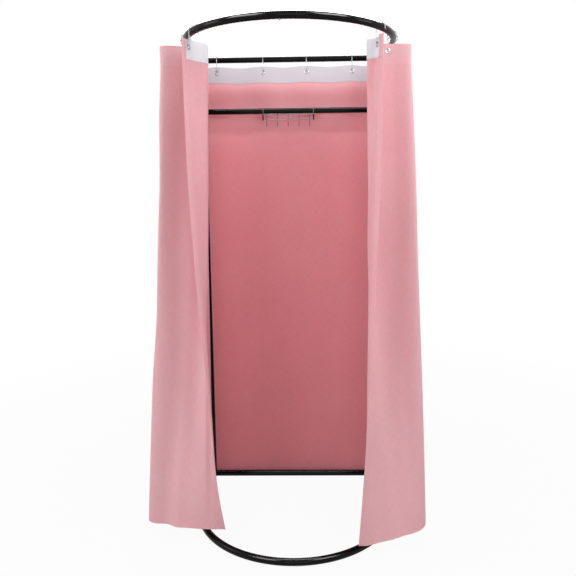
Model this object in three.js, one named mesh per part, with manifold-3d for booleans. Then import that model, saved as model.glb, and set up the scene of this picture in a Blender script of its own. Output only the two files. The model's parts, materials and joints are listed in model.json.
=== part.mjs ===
import * as THREE from 'three';
import { mergeVertices } from 'three/addons/utils/BufferGeometryUtils.js';
import Module from 'manifold-3d';

const wasm = await Module();
wasm.setup();

// Portable fitting room: a plug-together frame of round steel tube, with three curtains
// on wire hooks and a wire rack on its hanging bar. Millimetres, +Z up. The origin lies
// on the floor, under the middle of the back bottom bar. -Y is the open front.

// Frame
const frameHeight = 2000;
const halfWidth = 411;
const sideLength = 311;
const tubeRadius = 14;
const tubeWall = 1.2;
const spigotWall = 1.2;
const fitGap = 0.3;
const armReach = 22;
const spigotLength = 45;
const neckLength = 32;
const railJointOffset = 4;
const baseWall = 2;
const uprightJointHeight = 1000;
const hangingBarDrop = 229;
const hangingBarRadius = 12.5;
const screwHeadRadius = 4.5;
const screwHeadHeight = 2.5;
const screwRadius = 2.5;
const screwLength = 8;

// Curtain hooks and grommets
const hookWireRadius = 1.25;
const hookLoopRadius = 18.25;
const hookRestGap = 0.4;
const hookShankDrop = 50;
const hookEyeRadius = 6.5;
const hookTipRise = 3;
const hookEndFlare = 3;
const hookEndDrop = 9;
const grommetHoleRadius = 6;
const grommetFlangeRadius = 11;
const grommetBarrelWall = 0.8;
const grommetFlangeThickness = 0.6;

// Curtains
const clothThickness = 1.5;
const bandThickness = 1;
const bandHeight = 80;
const bandInset = 0.5;
const topEdgeDrop = 34;
const sideHemHeight = 60;
const backHemHeight = 16;
const backCurtainSetBack = 21;
const backCurtainClearance = 20;
const backCurtainSpread = 15;
const foldReach = 100;
const facetHalf = 13;

// Wire rack on the hanging bar
const rackWireRadius = 1.5;
const rackCentre = -20;
const rackHalfSpan = 115;
const rackHookPitch = 49;
const rackHookCount = 5;
const rackHookDrop = 62;
const rackHookRadius = 8;
const rackHookTip = 12;
const rackRailDrop = 15;
const rackLowerDrop = 40;
const rackBackDrop = 6;
const rackCapWall = 1.6;
const rackCapLength = 24;

// How finely round things are cut
const tubeSides = 12;
const bendSteps = 15;
const wireSides = 5;
const ringSides = 8;
const spanSteps = 2;

// Worked out from the sizes above
const topHeight = frameHeight - tubeRadius;
const baseHeight = tubeRadius;
const hangingBarHeight = topHeight - hangingBarDrop;
const boreRadius = tubeRadius - tubeWall;
const spigotRadius = boreRadius - fitGap;
const neckBore = spigotRadius - spigotWall;
const bendCentre = new THREE.Vector3(0, -sideLength, 0);
const clothTop = topHeight - topEdgeDrop;
const bandBottom = clothTop - bandHeight;
const backCurtainHalfWidth = halfWidth - backCurtainClearance;
const eyeAngles = [180, 240, 300, 360];
const eyeSag = -hookEyeRadius * Math.sin(THREE.MathUtils.degToRad(eyeAngles[1]));
const barrelRadius = grommetHoleRadius + grommetBarrelWall;
const grommetFlat = grommetHoleRadius * Math.cos(Math.PI / ringSides);
const grommetDrop = hookShankDrop + eyeSag - hookWireRadius - fitGap + grommetFlat;
const headerThickness = clothThickness + fitGap + bandThickness;
const rackCapRadius = rackWireRadius + fitGap + rackCapWall;

const colours = {
  black: { color: 0x16181a, roughness: 0.32, metalness: 0.55 },
  silver: { color: 0xb9bcbf, roughness: 0.28, metalness: 0.9 },
  pink: { color: 0xdba0aa, roughness: 0.85, metalness: 0 },
  white: { color: 0xd9d4dc, roughness: 0.85, metalness: 0 },
  rubber: { color: 0x1b1517, roughness: 0.7, metalness: 0 },
};

const fittingRoom = new THREE.Group();

function add(name, geometry, look) {
  const mesh = new THREE.Mesh(geometry, new THREE.MeshStandardMaterial(colours[look]));
  mesh.name = name;
  fittingRoom.add(mesh);
  return mesh;
}

const up = new THREE.Vector3(0, 0, 1);
const sideWords = { left: -1, right: 1 };

// A flat-sided ring of points whose flats lie at the radius, facing along the two axes.
function ringPoints(centre, across, other, radius, sides) {
  const reach = radius / Math.cos(Math.PI / sides);
  return Array.from({ length: sides }, (_, i) => {
    const angle = ((2 * i + 1) * Math.PI) / sides;
    return centre
      .clone()
      .addScaledVector(across, reach * Math.cos(angle))
      .addScaledVector(other, reach * Math.sin(angle));
  });
}

// A skin over rings of equal point counts: capped at both ends, or closed round on itself.
function loft(rings, closed) {
  const sides = rings[0].length;
  const last = rings.length - 1;
  const positions = rings.flat().flatMap((p) => [p.x, p.y, p.z]);
  const faces = [];
  for (let i = 0; i < (closed ? rings.length : last); i++) {
    const next = (i + 1) % rings.length;
    for (let j = 0; j < sides; j++) {
      const k = (j + 1) % sides;
      faces.push(i * sides + j, i * sides + k, next * sides + k);
      faces.push(i * sides + j, next * sides + k, next * sides + j);
    }
  }
  if (!closed) {
    for (let j = 1; j < sides - 1; j++) {
      faces.push(0, j + 1, j);
      faces.push(last * sides, last * sides + j, last * sides + j + 1);
    }
  }
  return meshed(positions, faces);
}

function meshed(positions, faces) {
  const geometry = new THREE.BufferGeometry();
  geometry.setAttribute('position', new THREE.Float32BufferAttribute(positions, 3));
  geometry.setIndex(faces);
  return geometry;
}

// Directions of travel at each point of a path, and axes carried along it without twist.
function travelFrames(points, side) {
  let across = side.clone();
  return points.map((point, i) => {
    const before = points.findLast((p, k) => k < i && !p.equals(point)) ?? point;
    const after = points.find((p, k) => k > i && !p.equals(point)) ?? point;
    const inward = point.clone().sub(before).normalize();
    const outward = after.clone().sub(point).normalize();
    const travel = inward.add(outward).normalize();
    across = across.clone().addScaledVector(travel, -across.dot(travel)).normalize();
    return { across, other: travel.clone().cross(across) };
  });
}

function rod(points, radius, sides, side) {
  const frames = travelFrames(points, side);
  const rings = points.map((p, i) => ringPoints(p, frames[i].across, frames[i].other, radius, sides));
  return loft(rings, false);
}

// A round wire, with its corners at the wire's radius
function wire(points, radius, side) {
  return rod(points, radius * Math.cos(Math.PI / wireSides), wireSides, side);
}

// A tube with an open bore. Stations give a point, an outer and an inner radius.
function tube(stations, side) {
  const frames = travelFrames(stations.map((s) => s.point), side);
  const rings = (key) =>
    stations.map((s, i) => ringPoints(s.point, frames[i].across, frames[i].other, s[key], tubeSides));
  return loft([...rings('outer'), ...rings('inner').reverse()], true);
}

function station(point, outer = tubeRadius, inner = boreRadius) {
  return { point, outer, inner };
}

function solid(geometry) {
  const bare = new THREE.BufferGeometry();
  bare.setAttribute('position', geometry.getAttribute('position'));
  bare.setIndex(geometry.getIndex());
  const merged = mergeVertices(bare);
  return new wasm.Manifold(
    new wasm.Mesh({
      numProp: 3,
      vertProperties: new Float32Array(merged.getAttribute('position').array),
      triVerts: new Uint32Array(merged.getIndex().array),
    }),
  );
}

function shape(manifold) {
  const mesh = manifold.getMesh();
  return meshed(Array.from(mesh.vertProperties), Array.from(mesh.triVerts));
}

function joined(geometries) {
  return geometries.map(solid).reduce((whole, piece) => whole.add(piece));
}

function mirrored(geometry) {
  const flipped = geometry.clone().applyMatrix4(new THREE.Matrix4().makeScale(-1, 1, 1));
  const index = flipped.getIndex();
  for (let i = 0; i < index.count; i += 3) {
    const kept = index.getX(i);
    index.setX(i, index.getX(i + 2));
    index.setX(i + 2, kept);
  }
  return flipped;
}

function onSide(side, geometry) {
  return side < 0 ? geometry : mirrored(geometry);
}

// Points of the left rail in plan. The straight runs from share 0 at the rear corner to
// share 1 where the bend starts; turns are degrees round the bend to the front middle.
function outwardAt(turn) {
  const angle = THREE.MathUtils.degToRad(turn);
  return new THREE.Vector3(-Math.cos(angle), -Math.sin(angle), 0);
}

function alongSide(share, reach) {
  return new THREE.Vector3(-halfWidth - reach, -sideLength * share, 0);
}

function roundBend(turn, reach) {
  return bendCentre.clone().addScaledVector(outwardAt(turn), halfWidth + reach);
}

// Rails: half of the U at the top, and half of the same U on the floor
const quarterTurn = 90;

function railPath(height) {
  const start = new THREE.Vector3(-halfWidth, -armReach - fitGap, 0);
  const turns = Array.from({ length: bendSteps + 1 }, (_, i) => (quarterTurn * i) / bendSteps);
  const bend = turns.map((turn) => roundBend(turn, 0));
  return [start, ...bend].map((p) => p.setZ(height));
}

// The halves meet a little to the left of the middle, square to the left half's last chord.
function joinedPath(height, side) {
  const path = railPath(height);
  const chord = path.at(-2).clone().sub(path.at(-1)).normalize();
  chord.x *= -side;
  return { path, at: (reach) => path.at(-1).clone().addScaledVector(chord, reach) };
}

function leftRail(height) {
  const { path, at } = joinedPath(height, -1);
  return tube(path.with(-1, at(railJointOffset + fitGap)).map((p) => station(p)), up);
}

// The right half ends in a narrowed neck that plugs into the left half.
function rightRail(height) {
  const { path, at } = joinedPath(height, 1);
  const stations = path.map((p) => station(p));
  stations.at(-1).inner = neckBore;
  stations.push(station(at(railJointOffset), tubeRadius, neckBore));
  stations.push(station(at(railJointOffset), spigotRadius, neckBore));
  stations.push(station(at(railJointOffset + neckLength), spigotRadius, neckBore));
  return mirrored(tube(stations, up));
}

// Where the neck is locked: a screw through the outer half's wall into the neck
function neckMiddle(height) {
  return joinedPath(height, -1).at(railJointOffset + neckLength / 2);
}

const eastward = new THREE.Vector3(1, 0, 0);

// An axis square to a screw's
function screwSide(inward) {
  return inward.equals(up) ? eastward : up;
}

function lockingScrew(seat, inward) {
  const across = screwSide(inward);
  const head = seat.clone().addScaledVector(inward, -screwHeadHeight - fitGap);
  const shoulder = seat.clone().addScaledVector(inward, -fitGap);
  const end = seat.clone().addScaledVector(inward, screwLength);
  const frame = [across, inward.clone().cross(across)];
  const rings = [
    ringPoints(head, ...frame, screwHeadRadius, ringSides),
    ringPoints(shoulder, ...frame, screwHeadRadius, ringSides),
    ringPoints(shoulder, ...frame, screwRadius, ringSides),
    ringPoints(end, ...frame, screwRadius, ringSides),
  ];
  return loft(rings, false);
}

function screwHole(seat, inward) {
  const across = screwSide(inward);
  const reach = screwLength + tubeWall;
  const ends = [-reach, reach].map((r) => seat.clone().addScaledVector(inward, r));
  return solid(rod(ends, screwRadius + fitGap, ringSides, across));
}

function addRails(word, height, screwInward) {
  const seat = neckMiddle(height).addScaledVector(screwInward, -tubeRadius);
  const hole = screwHole(seat, screwInward);
  add(`${word}_rail_left`, shape(solid(leftRail(height)).subtract(hole)), 'black');
  add(`${word}_rail_right`, shape(solid(rightRail(height)).subtract(hole)), 'black');
  add(`${word}_joint_screw`, lockingScrew(seat, screwInward), 'silver');
}

// Three-way corner fitting: three tube stubs, each with a spigot for the tube beyond it
function cornerFitting(side, height, rise) {
  const centre = new THREE.Vector3(side * halfWidth, 0, height);
  const upward = new THREE.Vector3(0, 0, rise);
  const ways = [upward, new THREE.Vector3(0, -1, 0), new THREE.Vector3(-side, 0, 0)];
  const stubs = ways.flatMap((way, i) => {
    const across = i === 0 ? eastward : up;
    const back = i === 0 ? -tubeRadius : 0;
    const from = centre.clone().addScaledVector(way, back);
    const shoulder = centre.clone().addScaledVector(way, armReach);
    const end = centre.clone().addScaledVector(way, armReach + spigotLength);
    return [
      rod([from, shoulder], tubeRadius, tubeSides, across),
      rod([centre.clone(), end], spigotRadius, tubeSides, across),
    ];
  });
  const bores = ways.map((way, i) => {
    const across = i === 0 ? eastward : up;
    const start = i === 0 ? baseWall - tubeRadius : 0;
    const stops = [start, armReach + spigotLength + fitGap];
    const ends = stops.map((reach) => centre.clone().addScaledVector(way, reach));
    return rod(ends, neckBore, tubeSides, across);
  });
  return shape(joined(stubs).subtract(joined(bores)));
}

// The lower half of an upright ends in a narrowed neck inside the upper half.
function lowerUpright(side) {
  const at = (z) => new THREE.Vector3(side * halfWidth, 0, z);
  const stations = [
    station(at(baseHeight + armReach + fitGap)),
    station(at(uprightJointHeight), tubeRadius, neckBore),
    station(at(uprightJointHeight), spigotRadius, neckBore),
    station(at(uprightJointHeight + spigotLength), spigotRadius, neckBore),
  ];
  return tube(stations, eastward);
}

// The upper half carries a short stub that the hanging bar slides over.
function upperUpright(side) {
  const at = (z) => new THREE.Vector3(side * halfWidth, 0, z);
  const ends = [uprightJointHeight + fitGap, topHeight - armReach - fitGap];
  const post = tube(ends.map((z) => station(at(z))), eastward);
  const stubRadius = hangingBarRadius - tubeWall - fitGap;
  const from = new THREE.Vector3(side * (halfWidth - boreRadius), 0, hangingBarHeight);
  const stubEnd = from.clone().setX(side * (halfWidth - tubeRadius - spigotLength));
  return shape(joined([post, rod([from, stubEnd], stubRadius, tubeSides, up)]));
}

function crossBar(height, outer, halfLength) {
  const ends = [-halfLength, halfLength].map((x) => new THREE.Vector3(x, 0, height));
  return tube(ends.map((p) => station(p, outer, outer - tubeWall)), up);
}

function addFrame() {
  addRails('top', topHeight, up);
  addRails('base', baseHeight, new THREE.Vector3(0, -1, 0));
  for (const [word, side] of Object.entries(sideWords)) {
    add(`${word}_upright_lower`, lowerUpright(side), 'black');
    add(`${word}_upright_upper`, upperUpright(side), 'black');
    add(`${word}_top_corner`, cornerFitting(side, topHeight, -1), 'black');
    add(`${word}_base_corner`, cornerFitting(side, baseHeight, 1), 'black');
  }
  const backBarHalf = halfWidth - armReach - fitGap;
  add('back_top_bar', crossBar(topHeight, tubeRadius, backBarHalf), 'black');
  add('back_base_bar', crossBar(baseHeight, tubeRadius, backBarHalf), 'black');
  add('hanging_bar', crossBar(hangingBarHeight, hangingBarRadius, halfWidth - tubeRadius - fitGap), 'black');
}

// A curtain hook: one wire that loops over the rail, drops down its inner side and turns
// up through a grommet. Outward points away from the cabin; through is the way in which
// the wire passes the cloth.
const loopAngles = [-15, 15, 45, 75, 105, 135, 165];
const loopTopAngle = 75;

function hookWire(axis, outward, through) {
  const topReach = hookLoopRadius * Math.sin(THREE.MathUtils.degToRad(loopTopAngle));
  const rise = tubeRadius + hookRestGap + hookWireRadius - topReach;
  const place = (reach, drop) => axis.clone().addScaledVector(outward, reach).setZ(axis.z + drop);
  const loop = loopAngles.map((degrees) => {
    const angle = THREE.MathUtils.degToRad(degrees);
    return place(hookLoopRadius * Math.cos(angle), rise + hookLoopRadius * Math.sin(angle));
  });
  const freeEnd = place(hookLoopRadius + hookEndFlare, rise - hookEndDrop);
  const shankTop = place(-hookLoopRadius, rise);
  const eyeCentre = place(-hookLoopRadius, -hookShankDrop).addScaledVector(through, hookEyeRadius);
  const eye = eyeAngles.map((degrees) => {
    const angle = THREE.MathUtils.degToRad(degrees);
    const point = eyeCentre.clone().addScaledVector(through, hookEyeRadius * Math.cos(angle));
    return point.setZ(eyeCentre.z + hookEyeRadius * Math.sin(angle));
  });
  const tip = eye.at(-1).clone().addScaledVector(up, hookTipRise);
  const side = up.clone().cross(outward);
  return wire([freeEnd, ...loop, shankTop, ...eye, tip], hookWireRadius, side);
}

// Where a hook's grommet sits in the cloth, in plan
function grommetSeat(axis, outward, through) {
  return axis
    .clone()
    .addScaledVector(outward, -hookLoopRadius)
    .addScaledVector(through, hookEyeRadius)
    .setZ(axis.z - grommetDrop);
}

// A two-flange grommet through the header: cloth outside, band inside
function grommet(seat, through) {
  const side = up.clone().cross(through);
  const outerFace = headerThickness / 2 + fitGap;
  const innerFace = -outerFace;
  const profile = [
    [innerFace - grommetFlangeThickness, grommetFlangeRadius],
    [innerFace, grommetFlangeRadius],
    [innerFace, barrelRadius],
    [outerFace, barrelRadius],
    [outerFace, grommetFlangeRadius],
    [outerFace + grommetFlangeThickness, grommetFlangeRadius],
    [outerFace + grommetFlangeThickness, grommetFlat],
    [innerFace - grommetFlangeThickness, grommetFlat],
  ];
  const other = through.clone().cross(side);
  const rings = profile.map(([shift, radius]) => {
    const centre = seat.clone().addScaledVector(through, shift);
    return ringPoints(centre, side, other, radius, ringSides);
  });
  return loft(rings, true);
}

function grommetHole(seat, through) {
  const reach = grommetFlangeRadius;
  const ends = [-reach, reach].map((shift) => seat.clone().addScaledVector(through, shift));
  return solid(rod(ends, barrelRadius + fitGap, ringSides, up.clone().cross(through)));
}

function turned(direction, degrees) {
  return direction.clone().applyAxisAngle(up, THREE.MathUtils.degToRad(degrees));
}

// Side curtains, drawn for the left side. Each stop is where the cloth passes, seen from
// above: a share of the side or a turn round the bend, and its reach outside the rail as a
// share of the fold reach. Its three columns are the header, half way down and the hem. The
// left lead hook hangs the other way round, with its shank on the outer side of the rail.
const sideStopShares = {
  edge: { along: [0.06, 0.06, 0.06], out: [-0.13, -0.05, 0.05] },
  hook1: { hookAlong: 0.145, twist: 0, along: [0.145, 0.145], out: [0, 0.14] },
  wave1: { along: [0.34, 0.34, 0.34], out: [0.32, 0.46, 0.66] },
  hook2: { hookAlong: 0.55, twist: 0, along: [0.55, 0.55], out: [0.25, 0.8] },
  wave2: { along: [0.8, 0.8, 0.8], out: [0.45, 0.8, 1.3] },
};

const leftStopShares = {
  ...sideStopShares,
  hook3: { hookTurn: 1, twist: 70, turn: [1, 2], out: [0.5, 1.25] },
  fold1: { turn: [4.5, 5, 6], out: [-0.7, 0, 1.12] },
  hook4: { hookTurn: 8, twist: -70, turn: [9, 10], out: [0.75, 1.58] },
  ridge1: { turn: [10, 12, 13], out: [0.6, 1.28, 1.94] },
  ridge2: { turn: [17.3, 17.9, 17.8], out: [1, 1.59, 2.18] },
  hook5: { hookTurn: 15.5, twist: 93, turn: [20.5, 26.4], out: [0.45, 1.42] },
  fold2: { turn: [15, 23.2, 30.6], out: [-0.62, -0.18, 0.92] },
  fold3: { turn: [25.5, 33, 37.2], out: [-0.68, -0.17, 0.3] },
  hook6: { hookTurn: 33, twist: -61, reversed: true, turn: [36, 40.2], out: [0, 0.04] },
  lead1: { turn: [34.2, 38.5, 43.4], out: [0.39, 0.24, -0.19] },
  lead2: { turn: [35.6, 38.9, 45.3], out: [0.56, 0.4, -0.31] },
};

const rightStopShares = {
  ...sideStopShares,
  hook3: { hookTurn: 1, twist: 70, turn: [1, 2], out: [0.4, 1.1] },
  fold1: { turn: [4.5, 5, 7], out: [-0.7, 0, 0.98] },
  hook4: { hookTurn: 8.5, twist: -70, turn: [9, 12], out: [0.6, 1.3] },
  ridge1: { turn: [9, 13, 17], out: [0.5, 1.01, 1.5] },
  ridge2: { turn: [13.4, 19, 24.4], out: [0.72, 1.24, 1.68] },
  hook5: { hookTurn: 15.5, twist: 68, turn: [23.3, 33.2], out: [0.3, 1.6] },
  fold2: { turn: [20.6, 29.8, 39.1], out: [-0.55, -0.25, 1.3] },
  fold3: { turn: [32.8, 39.3, 46.6], out: [-0.54, -0.14, 0.91] },
  hook6: { hookTurn: 34.5, twist: -55, turn: [44.6, 51.6], out: [0.08, 0.7] },
  lead1: { turn: [40.3, 48, 54.9], out: [0.24, 0.36, 0.54] },
  lead2: { turn: [41.2, 48.4, 56.7], out: [0.44, 0.56, 0.43] },
};

// The hook that a stop hangs from: its place on the rail, and the way through the cloth
function sideHook(stop) {
  const onBend = stop.hookTurn !== undefined;
  const axis = onBend ? roundBend(stop.hookTurn, 0) : alongSide(stop.hookAlong, 0);
  const outward = outwardAt(onBend ? stop.hookTurn : 0);
  const through = turned(outward, stop.twist);
  return placedHook(axis.setZ(topHeight), stop.reversed ? outward.negate() : outward, through);
}

function placedHook(axis, outward, through) {
  const seat = grommetSeat(axis, outward, through);
  const clothMiddle = seat.clone().addScaledVector(through, (headerThickness - clothThickness) / 2);
  return { axis, outward, through, seat, clothMiddle };
}

// Where the cloth passes a stop. Under its hook a stop lists only the two lower levels.
function stopPoint(stop, level) {
  const column = level - 3 + stop.out.length;
  if (column < 0) return sideHook(stop).clothMiddle.setZ(0);
  const reach = stop.out[column] * foldReach;
  return stop.turn ? roundBend(stop.turn[column], reach) : alongSide(stop.along[column], reach);
}

// One level of a curtain as points in plan. A hook's stop gives two points, so that the
// header is flat where its grommet sits.
function levelPoints(stops, level) {
  const places = stops.map((stop) => stopPoint(stop, level));
  const points = [];
  const flats = [];
  stops.forEach((stop, i) => {
    if (stop.twist === undefined) {
      points.push(places[i]);
      return;
    }
    const chord = places[i + 1].clone().sub(places[i - 1]).normalize();
    const travel = level === 0 ? turned(sideHook(stop).through, 90) : chord;
    flats.push(points.length);
    points.push(places[i].clone().addScaledVector(travel, -facetHalf));
    points.push(places[i].clone().addScaledVector(travel, facetHalf));
  });
  return { points, flats };
}

function sampled({ points, flats }) {
  const curve = new THREE.CatmullRomCurve3(points, false, 'centripetal');
  const spans = points.length - 1;
  const samples = [points[0]];
  for (let i = 0; i < spans; i++) {
    const steps = flats.includes(i) ? 1 : spanSteps;
    for (let k = 1; k < steps; k++) {
      samples.push(curve.getPoint((i + k / steps) / spans));
    }
    samples.push(points[i + 1]);
  }
  return samples;
}

// Rows of points from the top edge to the hem: upright over the header, then spreading
// through the middle level to the hem level.
const rowShares = [0, 0.12, 0.28, 0.45, 0.62, 0.8, 1];

// The point at a share of the way down the parabola through the three levels' points
function between(top, middle, bottom, share) {
  const toMiddle = top.clone().lerp(middle, 2 * share);
  const toBottom = middle.clone().lerp(bottom, 2 * share - 1);
  return toMiddle.lerp(toBottom, share);
}

function clothRows(levels, hemHeight) {
  const [top, middle, bottom] = levels;
  const drop = bandBottom - hemHeight;
  const rows = rowShares.map((share) => {
    const height = bandBottom - drop * share;
    return top.map((p, i) => between(p, middle[i], bottom[i], share).setZ(height));
  });
  return [levels[0].map((p) => p.clone().setZ(clothTop)), ...rows];
}

// Each row shifted sideways in plan, with square corners, so that flats stay parallel.
function shifted(row, distance) {
  return row.map((point, i) => {
    const before = point.clone().sub(row[Math.max(i - 1, 0)]).setZ(0);
    const after = row[Math.min(i + 1, row.length - 1)].clone().sub(point).setZ(0);
    if (i === 0) before.copy(after);
    if (i === row.length - 1) after.copy(before);
    const first = before.normalize().cross(up);
    const both = first.clone().add(after.normalize().cross(up)).normalize();
    return point.clone().addScaledVector(both, distance / both.dot(first));
  });
}

// A sheet between two offsets of its rows. Positive offsets lie outside the cabin.
function sheet(rows, from, to) {
  const outer = rows.map((row) => shifted(row, to));
  const inner = rows.map((row) => shifted(row, from));
  const columns = rows[0].length;
  const count = rows.length * columns;
  const at = (r, c) => r * columns + c;
  const faces = [];
  for (let r = 0; r < rows.length - 1; r++) {
    for (let c = 0; c < columns - 1; c++) {
      const corners = [at(r, c), at(r + 1, c), at(r + 1, c + 1), at(r, c + 1)];
      faces.push(corners[0], corners[1], corners[2], corners[0], corners[2], corners[3]);
      const [a, b, d, e] = corners.map((n) => n + count);
      faces.push(a, d, b, a, e, d);
    }
  }
  const down = rows.map((_, r) => at(r, 0));
  const across = rows[0].map((_, c) => at(rows.length - 1, c)).slice(1);
  const back = rows.map((_, r) => at(r, columns - 1)).reverse().slice(1);
  const home = rows[0].map((_, c) => at(0, c)).reverse().slice(1);
  const rim = [...down, ...across, ...back, ...home];
  for (let i = 0; i < rim.length - 1; i++) {
    const [p, q] = [rim[i], rim[i + 1]];
    faces.push(q, p, p + count, q, p + count, q + count);
  }
  return meshed([...outer, ...inner].flat().flatMap((p) => [p.x, p.y, p.z]), faces);
}

// The cloth and the band sewn along the inside of its header, cut for the grommets. The
// band stops short of the side hems, which take up so many columns.
function clothAndBand(rows, hooks, hemColumns) {
  const holes = hooks.map((hook) => grommetHole(hook.seat, hook.through)).reduce((a, b) => a.add(b));
  const cloth = sheet(rows, -clothThickness / 2, clothThickness / 2);
  const bandOuter = -clothThickness / 2 - fitGap;
  const sewn = rows[0].slice(hemColumns, rows[0].length - hemColumns);
  const edges = [clothTop - bandInset, bandBottom + bandInset];
  const bandRows = edges.map((height) => sewn.map((p) => p.clone().setZ(height)));
  const band = sheet(bandRows, bandOuter - bandThickness, bandOuter);
  return [cloth, band].map((geometry) => shape(solid(geometry).subtract(holes)));
}

function addCurtain(word, rows, hooks, hemColumns, finish) {
  const [cloth, band] = clothAndBand(rows, hooks, hemColumns);
  add(`${word}_curtain`, finish(cloth), 'pink');
  add(`${word}_curtain_band`, finish(band), 'white');
  hooks.forEach((hook, i) => {
    add(`${word}_hook_${i + 1}`, finish(hookWire(hook.axis, hook.outward, hook.through)), 'silver');
    add(`${word}_grommet_${i + 1}`, finish(grommet(hook.seat, hook.through)), 'silver');
  });
}

function addSideCurtain(word, stopShares) {
  const stops = Object.values(stopShares);
  const levels = [0, 1, 2].map((level) => sampled(levelPoints(stops, level)));
  const hooks = stops.filter((stop) => stop.twist !== undefined).map(sideHook);
  const rows = clothRows(levels, sideHemHeight);
  addCurtain(word, rows, hooks, spanSteps, (geometry) => onSide(sideWords[word], geometry));
}

// The back curtain hangs on the cabin side of the back top bar and drapes behind the
// hanging bar and the base bar, where it spreads behind the uprights. Its hooks are shares
// of its half width, and its slack waves are a share of the fold reach.
const backHookShares = [-0.87, -0.335, 0.165, 0.69, 0.97];
const backWaveShare = 0.09;
const waveShares = [0.3, 0.5, 0.7];
const backRows = [
  { share: 0.06, spread: 0 },
  { share: 0.25, spread: 1 },
  { share: 0.6, spread: 1 },
  { share: 1, spread: 1 },
];

function backHook(share) {
  const axis = new THREE.Vector3(backCurtainHalfWidth * share, 0, topHeight);
  const outward = new THREE.Vector3(0, 1, 0);
  return placedHook(axis, outward, outward);
}

function backRow(height, setBack, spread) {
  const points = [];
  const put = (x, y) => points.push(new THREE.Vector3(x * (1 + spread / backCurtainHalfWidth), y, height));
  const stops = [...backHookShares].reverse();
  put(backCurtainHalfWidth, setBack);
  stops.forEach((share, i) => {
    const x = backCurtainHalfWidth * share;
    const facet = Math.min(facetHalf, backCurtainHalfWidth - Math.abs(x) - fitGap);
    put(x + facet, setBack);
    put(x - facet, setBack);
    if (i === stops.length - 1) return;
    const gap = (share - stops[i + 1]) * backCurtainHalfWidth;
    for (const part of waveShares) {
      put(x - gap * part, setBack + foldReach * backWaveShare * Math.sin(Math.PI * part) ** 2);
    }
  });
  put(-backCurtainHalfWidth, setBack);
  return points;
}

function addBackCurtain() {
  const hooks = backHookShares.map(backHook);
  const headerY = hooks[0].clothMiddle.y;
  const header = [clothTop, bandBottom].map((height) => backRow(height, headerY, 0));
  const drop = bandBottom - backHemHeight;
  const rest = backRows.map(({ share, spread }) => {
    return backRow(bandBottom - drop * share, backCurtainSetBack, backCurtainSpread * spread);
  });
  addCurtain('back', [...header, ...rest], hooks, 0, (geometry) => geometry);
}

// Wire rack: two wires over the hanging bar, two cross wires and a row of hooks, welded
const rackReach = hangingBarRadius + fitGap + rackWireRadius;
const archStep = 30;
const archAngles = [15, 45, 75, 105, 135, 165];
const rackHookAngles = [0, 45, 90, 135, 180];

function rackPoint(x, y, drop) {
  return new THREE.Vector3(x, y, hangingBarHeight - drop);
}

function rackStraddle(x) {
  const round = rackReach / Math.cos(THREE.MathUtils.degToRad(archStep) / 2);
  const arch = archAngles.map((degrees) => {
    const angle = THREE.MathUtils.degToRad(degrees);
    return rackPoint(x, -round * Math.cos(angle), -round * Math.sin(angle));
  });
  const foot = rackPoint(x, -rackReach, rackRailDrop + rackCapLength);
  const path = [foot, rackPoint(x, -rackReach, 0), ...arch, rackPoint(x, rackReach, rackBackDrop)];
  return wire(path, rackWireRadius, eastward);
}

function rackCross(drop, half) {
  const ends = [-half, half].map((x) => rackPoint(rackCentre + x, -rackReach, drop));
  return wire(ends, rackWireRadius, up);
}

function rackHook(x) {
  const front = rackReach + rackWireRadius;
  const bend = rackHookAngles.map((degrees) => {
    const angle = THREE.MathUtils.degToRad(degrees);
    const y = rackHookRadius * (Math.cos(angle) - 1) - front;
    return rackPoint(x, y, rackHookDrop + rackHookRadius * Math.sin(angle));
  });
  const top = rackPoint(x, -front, rackRailDrop - rackWireRadius);
  const tip = rackPoint(x, -front - 2 * rackHookRadius, rackHookDrop - rackHookTip);
  return wire([top, ...bend, tip], rackWireRadius, eastward);
}

// A rubber cap pushed over a wire's lower end
function rackCap(top) {
  const bore = rackWireRadius + fitGap;
  const bottom = top.clone().addScaledVector(up, -rackCapLength - 2 * rackWireRadius);
  const depth = top.clone().addScaledVector(up, -rackCapLength - fitGap);
  const body = solid(rod([bottom, top], rackCapRadius, ringSides, eastward));
  const hole = solid(rod([depth, top.clone().addScaledVector(up, fitGap)], bore, ringSides, eastward));
  return shape(body.subtract(hole));
}

function addRack() {
  const firstHook = rackCentre - ((rackHookCount - 1) / 2) * rackHookPitch;
  const hookXs = Array.from({ length: rackHookCount }, (_, i) => firstHook + i * rackHookPitch);
  const ends = [-1, 1].map((side) => rackCentre + side * rackHalfSpan);
  const lowerHalf = rackCentre - firstHook + rackHookRadius;
  const crossWires = [rackCross(rackRailDrop, rackHalfSpan), rackCross(rackLowerDrop, lowerHalf)];
  const wires = [...ends.map(rackStraddle), ...crossWires, ...hookXs.map(rackHook)];
  add('rack_wire_frame', shape(joined(wires)), 'silver');
  ends.forEach((x, i) => {
    const top = rackPoint(x, -rackReach, rackRailDrop + rackWireRadius + fitGap);
    add(`rack_cap_${i + 1}`, rackCap(top), 'rubber');
  });
}

addFrame();
addSideCurtain('left', leftStopShares);
addSideCurtain('right', rightStopShares);
addBackCurtain();
addRack();

export default fittingRoom;
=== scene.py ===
"""Portable fitting room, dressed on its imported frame. Metres, +Z up, the open front faces -Y."""

import json
import math

import bpy
import numpy as np
from mathutils import Matrix, Vector

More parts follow.
